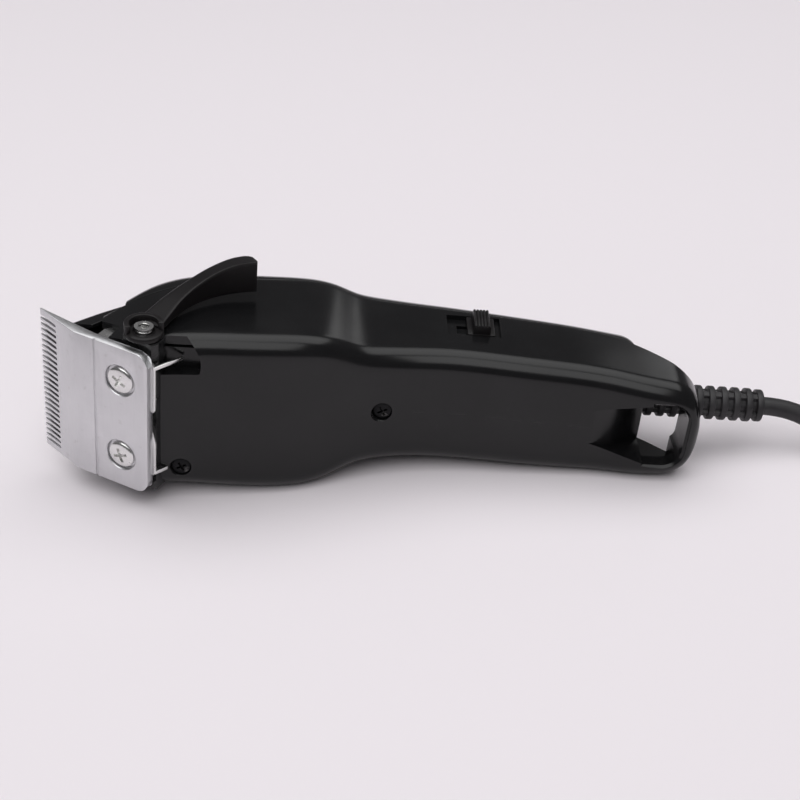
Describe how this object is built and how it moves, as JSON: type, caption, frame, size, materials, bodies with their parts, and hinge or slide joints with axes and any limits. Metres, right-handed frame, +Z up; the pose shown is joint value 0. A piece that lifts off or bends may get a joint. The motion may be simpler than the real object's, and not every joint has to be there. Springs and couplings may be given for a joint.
{
  "type": "corded hair clipper",
  "caption": "Corded hair clipper with a steel blade set, taper lever, slide switch, vibrating-arm motor and a hang loop in the tail, lying on its side.",
  "frame": {"origin": "centre of the clipper's bounding box without its free cord, on the surface that it lies on", "axes": "+X along the clipper from the teeth to the tail, +Y from the blade face to the top cover, +Z up, towards the taper lever's side"},
  "size_m": [0.3823, 0.0544, 0.0651],
  "materials": {
    "gloss_black": "moulded gloss black with a soft polish",
    "satin_black": "satin black moulding",
    "black_moulding": "plain matt moulding",
    "blade_steel": "ground steel with fine lengthways grain",
    "bright_steel": "bright plated steel",
    "dark_steel": "oiled dark steel",
    "copper": "enamelled copper wire",
    "brass": "plain brass",
    "nylon": "natural nylon",
    "lead_red": "wire insulation",
    "black_rubber": "soft matt black",
    "tie_black": "woven black strap"
  },
  "bodies": {
    "housing": {"bottom_housing": "gloss_black", "top_cover": "gloss_black", "cover_screws": "dark_steel", "fixed_blade": "blade_steel", "blade_plate": "bright_steel", "blade_screws": "bright_steel", "pivot_bracket": "dark_steel", "bracket_screws": "bright_steel", "lamination_core": "dark_steel", "coil_bobbin": "nylon", "coil_winding": "copper", "core_screws": "bright_steel", "switch_body": "black_moulding", "switch_terminals": "brass", "internal_leads": "lead_red", "cord_clamp": "black_moulding", "clamp_screws": "bright_steel", "strain_relief": "black_rubber", "cord_tube": "black_rubber", "cord_hank": "black_rubber", "cord_tie": "tie_black", "plug_body": "black_rubber", "plug_pins": "bright_steel"},
    "lever": {"taper_lever": "satin_black", "lever_cam": "bright_steel", "lever_screw": "bright_steel", "lever_washer": "bright_steel"},
    "carriage": {"taper_carriage": "black_moulding", "tension_spring": "bright_steel"},
    "cutter": {"moving_blade": "blade_steel", "drive_foot": "nylon"},
    "arm": {"drive_arm": "dark_steel", "main_spring": "bright_steel", "armature_plate": "dark_steel", "armature_rivets": "bright_steel", "drive_pin": "bright_steel"},
    "switch": {"switch_knob": "satin_black"},
    "adjuster": {"power_screw": "bright_steel"}
  },
  "joints": [
    {"name": "lever_turn", "type": "hinge", "parent": "housing", "child": "lever", "pos_m": [-0.07136, -0.01855, 0.05383], "axis": [0.0872, 0, 0.9962], "range_deg": [0, 50]},
    {"name": "taper_slide", "type": "slide", "parent": "housing", "child": "carriage", "axis": [-0.8208, 0.5667, 0.0718], "range_m": [0, 0.0015]},
    {"name": "cutter_slide", "type": "slide", "parent": "carriage", "child": "cutter", "axis": [0.0872, 0, 0.9962], "range_m": [-0.0014, 0.0014]},
    {"name": "arm_swing", "type": "hinge", "parent": "housing", "child": "arm", "pos_m": [0.00128, 0.00165, 0.0293], "axis": [0, 1, 0], "range_deg": [-0.8, 0.8], "stiffness_Nm_per_rad": 30},
    {"name": "switch_slide", "type": "slide", "parent": "housing", "child": "switch", "axis": [0.9962, 0, -0.0872], "range_m": [-0.0044, 0]},
    {"name": "power_turn", "type": "hinge", "parent": "housing", "child": "adjuster", "pos_m": [0.00507, 0.00465, 0.00388], "axis": [0.0872, 0, 0.9962], "range_deg": [-180, 180]}
  ],
  "couplings": [
    {"joint": "lever_turn", "follows": "taper_slide", "rad_per_m": 578},
    {"joint": "cutter_slide", "follows": "arm_swing", "m_per_rad": 0.0901}
  ]
}
